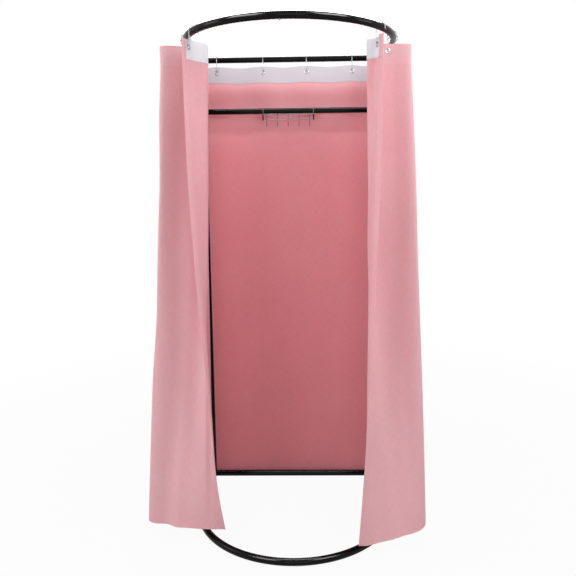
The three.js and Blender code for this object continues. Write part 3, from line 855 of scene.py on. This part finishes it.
def ripples(u, v, seed, amount):
    """Soft uneven hanging folds: zero at the header, growing below it. u and v are in metres."""
    rng = np.random.default_rng(seed)
    total = np.zeros((len(v), len(u)))
    for period, weight in ((0.31, 1.0), (0.17, 0.6), (0.09, 0.22)):
        phase = rng.uniform(0, 2 * math.pi)
        lean = rng.uniform(-0.15, 0.15)
        swell = 0.6 + 0.4 * np.sin(v[:, None] * rng.uniform(1.2, 3.2) + rng.uniform(0, 6))
        place = u[None] + lean * v[:, None]
        total += weight * swell * np.sin(2 * math.pi * place / period + phase)
    grow = np.clip((v - band_height) / 0.7, 0, 1) ** 1.3
    ease_ends = np.clip(np.minimum(u, u[-1] - u) / 0.05, 0, 1)
    return total * amount * grow[:, None] * ease_ends[None]


def valleys(u, v, shapes):
    """Soft upright valleys, each given as place, half width, depth and drops to start and end."""
    total = np.zeros((len(v), len(u)))
    for place, half, depth, start, end in shapes:
        bell = np.exp(-(((u - place) / half) ** 2))[None]
        total -= depth * bell * eased(np.minimum(v - start, end - v) / 0.35)[:, None]
    return total


def sag(u, places):
    """How far the top edge dips between its hooks, and past the first and last one."""
    dip = np.zeros(len(u))
    for a, b in zip(places[:-1], places[1:]):
        part = np.clip((u - a) / (b - a), 0, 1)
        dip += header_sag * min(1.0, (b - a) / 0.15) * np.sin(math.pi * part) ** 2
    past = np.clip(np.maximum(places[0] - u, u - places[-1]) / 0.06, 0, 1)
    return dip + header_sag * past**2


def side_grid(stops, lead_tuck):
    """The cloth's middle surface from the stops, and the columns where its hooks hang.

    lead_tuck is how far the leading edge curls back, most of all just above the hem.
    """
    levels = []
    for level in range(3):
        points, flats = level_points(stops, level)
        levels.append(smooth_line(points, flats, keep_flat=level == 0))
    heights = row_heights(side_hem)
    band_bottom = cloth_top - band_height
    share = np.clip((band_bottom - heights) / (band_bottom - side_hem), 0, 1)[:, None, None]
    top, half, hem = (level[None] for level in levels)
    grid = (
        top * (1 - share) * (1 - 2 * share)
        + half * 4 * share * (1 - share)
        + hem * share * (2 * share - 1)
    )
    grid[..., 2] = heights[:, None]
    curl_place, curl_half, curl_columns = 0.89, 0.13, 4 * span_steps
    curl = np.exp(-(((share[:, 0] - curl_place) / curl_half) ** 2))
    near_edge = np.clip(1 - np.arange(grid.shape[1])[::-1] / curl_columns, 0, 1)
    grid[..., 0] -= lead_tuck * curl * near_edge[None] ** 2
    spans = [facet_steps if i in flats else span_steps for i in range(len(points) - 1)]
    starts = np.concatenate([[0], np.cumsum(spans)])
    return grid, [starts[f] + facet_steps // 2 for f in flats]


def back_grid():
    """The back curtain hangs inside the top bar and drapes behind the bars further down."""
    header_y = back_hooks()[0]["cloth"][1]
    stops = sorted((share * back_half for share in back_hook_shares), reverse=True)
    xs, waves, columns = [back_half], [0.0], []
    for i, x in enumerate(stops):
        flat = min(facet_half, back_half - abs(x) - fit_gap)
        columns.append(len(xs) + 1)
        xs += [x + flat, x, x - flat]
        waves += [0.0, 0.0, 0.0]
        if i < len(stops) - 1:
            gap = x - stops[i + 1]
            parts = np.linspace(flat / gap, 1 - flat / gap, 14)[1:-1]
            xs += list(x - gap * parts)
            waves += list(np.sin(math.pi * parts) ** 2 * min(1, gap / 0.2))
    edge = np.linspace(xs[-1], -back_half, 5)[1:]
    xs += list(edge)
    waves += [0.0] * len(edge)
    heights = row_heights(back_hem)
    below = cloth_top - band_height - heights
    lean_end, spread_length = 0.11, 0.35
    lean = eased(below / lean_end)
    spread = 1 + back_spread / back_half * eased((below - lean_end) / spread_length)
    y = header_y + (back_set - header_y) * lean
    grid = np.empty((len(heights), len(xs), 3))
    grid[..., 0] = np.array(xs)[None] * spread[:, None]
    grid[..., 1] = y[:, None] + np.array(waves)[None] * back_wave * (1 - 0.55 * lean[:, None])
    grid[..., 2] = heights[:, None]
    return grid, columns


def rim_push(grid, rim):
    """The rim's directions outward in the sheet."""
    rows, columns = grid.shape[:2]
    r, c = rim // columns, rim % columns
    sideways = (c == columns - 1).astype(float) - (c == 0).astype(float)
    upward = (r == 0).astype(float) - (r == rows - 1).astype(float)
    along = unit(np.gradient(grid, axis=1))[r, c]
    return unit(along * sideways[:, None] + up * upward[:, None])


def closed_sheet(grid, u, v, outer_reach, inner_reach):
    """Vertices, faces and UVs of a thin closed solid with a rounded rim.

    Its two faces lie so far outside the grid, whose columns and rows are at u and v.
    """
    normals = row_normals(grid)
    outer = (grid + normals * outer_reach).reshape(-1, 3)
    inner = (grid + normals * inner_reach).reshape(-1, 3)
    rows, columns = grid.shape[:2]
    count = rows * columns
    index = np.arange(count).reshape(rows, columns)
    faces = []
    for r in range(rows - 1):
        for c in range(columns - 1):
            quad = (index[r, c], index[r + 1, c], index[r + 1, c + 1], index[r, c + 1])
            faces.append(quad)
            faces.append(tuple(i + count for i in quad[::-1]))
    rim = np.concatenate([index[:, 0], index[-1, 1:], index[::-1, -1][1:], index[0, ::-1][1:-1]])
    reach = np.linalg.norm((outer - inner)[rim] / 2, axis=1)
    middle_line = (outer + inner)[rim] / 2 + rim_push(grid, rim) * reach[:, None]
    turn = np.append(rim, rim[0])
    ring = np.append(np.arange(len(rim)), 0) + 2 * count
    for a, b, m, n in zip(turn[:-1], turn[1:], ring[:-1], ring[1:]):
        faces.append((b, a, m, n))
        faces.append((n, m, a + count, b + count))
    plane = np.stack(np.broadcast_arrays(u[None], v[:, None]), axis=2).reshape(-1, 2)
    uv = np.vstack([plane, plane, plane[rim]])
    return np.vstack([outer, inner, middle_line]), faces, uv


def hem_relief(u, v, ends_too):
    """Where the cloth is doubled by its folded hems, from 0 to 1, with soft steps."""
    fold = np.clip((v - (v[-1] - hem_fold)) / hem_step, 0, 1)[:, None]
    ends = np.clip((side_fold - np.minimum(u, u[-1] - u)) / hem_step, 0, 1)[None]
    return np.maximum(fold, ends if ends_too else np.zeros((1, len(u))))


def stitch_row(dashes):
    """Small dashes of thread, each along the line between two points of the cloth."""
    radii = np.array([0.4, 1, 1, 0.4]) * stitch_radius
    parts = []
    for a, b in dashes:
        mid, reach = (a + b) / 2, unit(b - a) * stitch_length / 2
        points = [mid + reach * share for share in (-1, -0.3, 0.3, 1)]
        parts.append(skin(rings_along(points, radii, 5)))
    return merged(parts)


def face_sampler(grid, u, v, lift):
    """Gives points at flat places (along, down) of the cloth's face, so far outside the grid."""
    lifted = grid + row_normals(grid) * lift

    def at(along, down):
        c = np.clip(np.searchsorted(u, along) - 1, 0, len(u) - 2)
        r = np.clip(np.searchsorted(v, down) - 1, 0, len(v) - 2)
        s = (along - u[c]) / (u[c + 1] - u[c])
        t = (down - v[r]) / (v[r + 1] - v[r])
        upper = lifted[r, c] * (1 - s) + lifted[r, c + 1] * s
        lower = lifted[r + 1, c] * (1 - s) + lifted[r + 1, c + 1] * s
        return upper * (1 - t) + lower * t

    return at


def stitches(grid, u, v, lift, ends_too):
    """Rows of stitches on one face, along the header seam, the hem and both side hems."""
    at = face_sampler(grid, u, v, lift)
    width, length = u[-1], v[-1]
    dash = stitch_pitch * 0.5
    rows = []
    across = np.arange(0.004, width - 0.004, stitch_pitch)
    for down in (header_seam, length - hem_fold + seam_inset):
        rows.append([(at(a, down), at(a + dash, down)) for a in across])
    if ends_too:
        inset = side_fold - seam_inset
        downward = np.arange(0.01, length - hem_fold, stitch_pitch)
        for along in (inset, width - inset):
            rows.append([(at(along, d), at(along, d + dash)) for d in downward])
    return [stitch_row(row) for row in rows]


def curtain(word, grid, hook_columns, shapes, seed, amount, follow):
    """The cloth, its band and its stitches, with the finish they share, each then handed to follow.
    """
    hemmed = word != "back"
    u = widths(grid)
    v = grid[0, 0, 2] - grid[:, 0, 2]
    places = [u[c] for c in hook_columns]
    placed = [(places[hook] + shift, *rest) for hook, shift, *rest in shapes]
    waves = ripples(u, v, seed, amount) + valleys(u, v, placed)
    grid = grid + row_normals(grid) * waves[..., None]
    grid[..., 2] -= sag(u, places)[None] * np.clip(1 - v / 0.16, 0, 1)[:, None]

    half = cloth_thickness / 2
    inner_reach = -half - hem_extra * hem_relief(u, v, hemmed)
    cloth = closed_sheet(grid, u, v, half, inner_reach[..., None])
    rows = v <= band_height
    between_hems = (u > side_fold - 0.001) & (u < u[-1] - side_fold + 0.001)
    covered = between_hems if hemmed else np.ones(len(u), bool)
    band = grid[rows][:, covered]
    band[0, :, 2] += 0.0004
    band_face = -half - fit_gap
    tape = closed_sheet(band, u[covered], v[rows], band_face, band_face - band_thickness)
    sewn = stitches(grid, u, v, half + stitch_lift, hemmed)
    if hemmed:
        sewn += stitches(grid, u, v, -half - hem_extra - stitch_lift, hemmed)[1:]

    made = {}
    for kind, (points, faces, uv), look, slot in (
        ("cloth", cloth, side_cloth if hemmed else back_cloth_painted_shade, "curtain_cloth"),
        ("tape", tape, side_tape if hemmed else back_tape_painted_shade, "band_cloth"),
        ("stitches", (*merged(sewn), None), thread_look, "curtain_cloth"),
    ):
        if word == "right":
            points, faces = flipped(points, faces)
        made[kind] = piece(f"{word}_curtain_{kind}", points, faces, look, slot, uv=uv)
    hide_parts(f"{word}_curtain")
    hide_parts(f"{word}_curtain_band")
    for obj in made.values():
        follow(obj)
    float(widths(grid)[-1])


draw_start = 0.16
draw_end_of = {"left": 0.368, "right": 0.36}
draw_tilt = math.radians(15)


def drawn_with(word):
    """How a side curtain's objects are finished.

    A line through the upright's foot, tilted a little off the side, is worked out for taking up its
    slack, but each object only has its transform baked in place.
    """
    side = -1 if word == "left" else 1
    direction = np.array([-side * math.sin(draw_tilt), -math.cos(draw_tilt), 0])
    foot = np.array([side * half_width, 0, 0])
    base = foot - direction * foot.dot(direction)

    def follow(obj):
        start, end = (base + direction * reach for reach in (draw_start, draw_end_of[word]))
        tuple(start)
        tuple(end)
        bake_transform(obj)

    return follow


def squashed(obj):
    """Attaches the back curtain to the frame, with a mesh of its own."""
    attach(obj, "frame")
    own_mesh(obj)


# Valleys in the side curtains: the hook, counted from 0 at the rear, the shift along the
# cloth from it, half width, depth, and the drops where each starts and ends
past_hem = 3.0
valleys_of = {
    "left": [
        (4, -0.02, 0.045, 0.009, 0.1, past_hem),
        (5, 0.03, 0.03, 0.004, 0.5, past_hem),
        (1, 0.07, 0.05, 0.008, 0.2, past_hem),
        (3, 0.13, 0.06, 0.011, 0.22, 1.35),
    ],
    "right": [
        (4, 0.03, 0.055, 0.009, 0.1, past_hem),
        (4, 0.04, 0.09, 0.019, 0.5, past_hem),
        (4, 0.15, 0.04, 0.005, 0.5, past_hem),
        (1, 0.07, 0.05, 0.008, 0.2, past_hem),
    ],
}
lead_tuck_of = {"left": 0.014, "right": 0.0}


def curtains():
    """Both side curtains are made on the left, and the right one is mirrored at the end."""
    for word, stops, seed in (("left", left_stops, 11), ("right", right_stops, 23)):
        grid, columns = side_grid(stops, lead_tuck_of[word])
        curtain(word, grid, columns, valleys_of[word], seed, 0.0035, drawn_with(word))
        hooks = [side_hook(stop) for stop in stops if "twist" in stop]
        hooks_and_grommets(word, hooks, {3: 3, 4: 4, 5: 5, 6: "lead"})
    grid, columns = back_grid()
    curtain("back", grid, columns, [], 5, 0.0016, squashed)
    hooks_and_grommets("back", back_hooks(), {1: "lead", 2: 2, 3: 3, 4: 4})


# Wire rack on the hanging bar

rack_wire = 0.0015
rack_hooks = 5
rack_pitch = 0.049
rack_bend = 0.008


def rack():
    """Two arches over the bar, two level wires and a row of hooks, with a cap on each arch."""
    caps = [middle("rack_cap_1"), middle("rack_cap_2")]
    reach = -caps[0][1]
    cap_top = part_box("rack_cap_1")[1][2]
    rail_z = cap_top + rack_wire + fit_gap
    parts = []

    def bent(x, profile):
        parts.append(wire([(x, y, z) for y, z in profile], rack_wire))

    def level(start, end, z):
        parts.append(wire([(x, -reach, z) for x in np.linspace(start, end, 6)], rack_wire))

    for cap in caps:
        legs = [(-reach, z) for z in np.linspace(cap_top - 0.02, bar_height - 0.002, 5)]
        arch = [
            (-reach * math.cos(a), bar_height + reach * math.sin(a))
            for a in np.radians(np.arange(0, 181, 10))
        ]
        bent(cap[0], [*legs, *arch, (reach, bar_height - 0.006)])
    level(caps[0][0], caps[1][0], rail_z)
    centre = (caps[0][0] + caps[1][0]) / 2
    lower_half = (rack_hooks - 1) / 2 * rack_pitch + 0.008
    level(centre - lower_half, centre + lower_half, bar_height - 0.04)
    front = reach + rack_wire
    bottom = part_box("rack_wire_frame")[0][2] + rack_bend + rack_wire * 0.9
    drop = [(-front, z) for z in np.linspace(rail_z + rack_wire, bottom, 5)]
    turn = [
        (-front - rack_bend + rack_bend * math.cos(a), bottom - rack_bend * math.sin(a))
        for a in np.radians(np.arange(12, 181, 12))
    ]
    for i in range(rack_hooks):
        x = centre + (i - (rack_hooks - 1) / 2) * rack_pitch
        bent(x, [*drop, *turn, (-front - 2 * rack_bend, bottom + 0.012)])
    framed("rack_wire_frame", parts, "rack", rack_metal, "steel_wire")
    for i, cap in enumerate(caps, 1):
        rack_cap(f"rack_cap_{i}", cap)


def rack_cap(node, centre):
    """A rubber cap with a rounded lower end, and a bore for the wire."""
    low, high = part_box(node)
    length = high[2] - low[2]
    radius = extent(node)[0] / 2
    bore = rack_wire + fit_gap
    profile = [
        (0, bore),
        (0, radius * 0.86),
        (0.0012, radius),
        (length * 0.75, radius * 0.98),
        (length * 0.93, radius * 0.8),
        (length, radius * 0.35),
        (length, 0.0003),
        (length * 0.9, 0.0003),
        (length * 0.88, bore),
    ]
    solid = lathe(profile, (centre[0], centre[1], high[2]), (0, 0, -1), 24)
    framed(node, [solid], "rack", cap_rubber, "cap_rubber")


# Floor, light and camera


def show_white(m, lit, white, output, share=None):
    """Plain white for the rays that see the stage, so that it reads as a white studio."""
    path = m.add("ShaderNodeLightPath").outputs
    seen = path["Is Camera Ray"]
    for ray in ("Is Glossy Ray", "Is Transmission Ray"):
        seen = m.math("MAXIMUM", seen, path[ray])
    if share is not None:
        seen = m.math("MULTIPLY", seen, share)
    plain = m.add(white, {"Color": (1, 1, 1, 1)})
    mix = m.add("ShaderNodeMixShader", {0: seen, 1: lit.outputs[0], 2: plain.outputs[0]})
    m.feed(m.tree.nodes[output].inputs["Surface"], mix.outputs[0])


def stage():
    """A wide pale floor, which takes a faint shadow close to the object."""
    m = material("studio_floor")
    m.set(Base_Color=(0.42, 0.42, 0.42, 1), Roughness=0.9, Specular_IOR_Level=0.1)
    place = m.coordinates("Object")
    far = m.add("ShaderNodeVectorMath", {0: place}, operation="LENGTH").outputs["Value"]
    share = m.range(far, 0.95, 1.0, 0.7, 3.5, "SMOOTHSTEP")
    shader = m.tree.nodes["Principled BSDF"]
    show_white(m, shader, "ShaderNodeEmission", "Material Output", share)
    mesh = bpy.data.meshes.new("floor")
    size = 30.0
    corners = [(-size, -size, 0), (size, -size, 0), (size, size, 0), (-size, size, 0)]
    mesh.from_pydata(corners, [], [(0, 1, 2, 3)])
    mesh.materials.append(m.owner)
    floor = linked("studio_floor", mesh)
    floor.location.z = -0.0005


def world():
    """Soft even light from all round, and white behind the object."""
    sky = Nodes(bpy.data.worlds.new("studio"))
    bpy.context.scene.world = sky.owner
    ambient = sky.tree.nodes["Background"]
    ambient.inputs["Color"].default_value = (1, 0.985, 0.98, 1)
    ambient.inputs["Strength"].default_value = 0.5
    show_white(sky, ambient, "ShaderNodeBackground", "World Output")


def softbox(name, place, target, size, power):
    light = bpy.data.lights.new(name, "AREA")
    light.shape, light.size, light.size_y, light.energy = "RECTANGLE", size[0], size[1], power
    obj = linked(name, light)
    obj.location = place
    obj.rotation_euler = (Vector(target) - Vector(place)).to_track_quat("-Z", "Y").to_euler()
    return obj


def gloss_strip(name, place, target, size, power):
    """A softbox that shows only as a highlight on the painted tubes."""
    strip = softbox(name, place, target, size, power)
    strip.visible_diffuse = False
    tubes = bpy.data.collections.new(f"{name} tubes")
    for obj in bpy.context.scene.objects:
        if obj.type == "MESH" and paint.name in obj.data.materials:
            tubes.objects.link(obj)
    strip.light_linking.receiver_collection = tubes


def lights():
    """Each lamp's place, what it points at, its width and length, and its power in watts."""
    softbox("left key", (-1.9, -3.0, 2.6), (-0.1, -0.4, 1.3), (1.4, 1.4), 31)
    softbox("right key", (1.15, -1.55, 2.55), (0.4, -0.6, 1.8), (0.7, 0.7), 14.5)
    softbox("front fill", (0.2, -4.2, 1.8), (0, 0, 1.2), (1.8, 1.8), 19)
    softbox("left side", (-3.0, -0.9, 2.1), (-0.4, -0.5, 1.6), (1.0, 2.0), 23)
    softbox("right side", (3.0, -0.9, 2.0), (0.4, -0.5, 1.5), (1.0, 2.0), 21)
    softbox("top strip", (0, -0.5, 3.1), (0, -0.1, 1.6), (1.6, 0.12), 13)
    softbox("rear", (-0.4, 3.2, 2.9), (0, -0.3, 1.3), (2.4, 2.0), 60)
    gloss_strip("ceiling gloss", (0, 0.5, 3.3), (0, 0.4, 0), (2.6, 1.6), 450)
    gloss_strip("left gloss", (-1.4, -1.8, 3.2), (0, -0.5, 1.9), (1.2, 1.2), 170)
    gloss_strip("right gloss", (1.4, -1.8, 3.2), (0, -0.5, 1.9), (1.2, 1.2), 170)


def camera():
    """The photograph's camera, found from the frame's rings and bars. Angles are in radians."""
    place = (0.081, -2.854, 1.413)
    yaw, pitch, roll = -0.021, 0.125, 0.012
    focal, centre_x, centre_y, frame_size = 610.08, 299.08, 263.23, 576
    level = math.cos(pitch)
    forward = np.array([math.sin(yaw) * level, math.cos(yaw) * level, -math.sin(pitch)])
    across = np.array([math.cos(yaw), -math.sin(yaw), 0])
    down = np.cross(forward, across)
    right_way = math.cos(roll) * across + math.sin(roll) * down
    down_way = -math.sin(roll) * across + math.cos(roll) * down
    data = bpy.data.cameras.new("camera")
    data.sensor_width = 36
    data.lens = focal / frame_size * data.sensor_width
    data.shift_x = (frame_size / 2 - centre_x) / frame_size
    data.shift_y = (centre_y - frame_size / 2) / frame_size
    obj = linked("camera", data)
    turn = Matrix((right_way, -down_way, -forward)).transposed()
    obj.matrix_world = Matrix.Translation(place) @ turn.to_4x4()
    bpy.context.scene.camera = obj


camera()
rails()
uprights()
bars()
corner_fittings()
screw("top_joint_screw", (0, 0, -1))
screw("base_joint_screw", (0, 1, 0))
curtains()
rack()
stage()
world()
lights()
bpy.context.scene.view_settings.view_transform = "Standard"
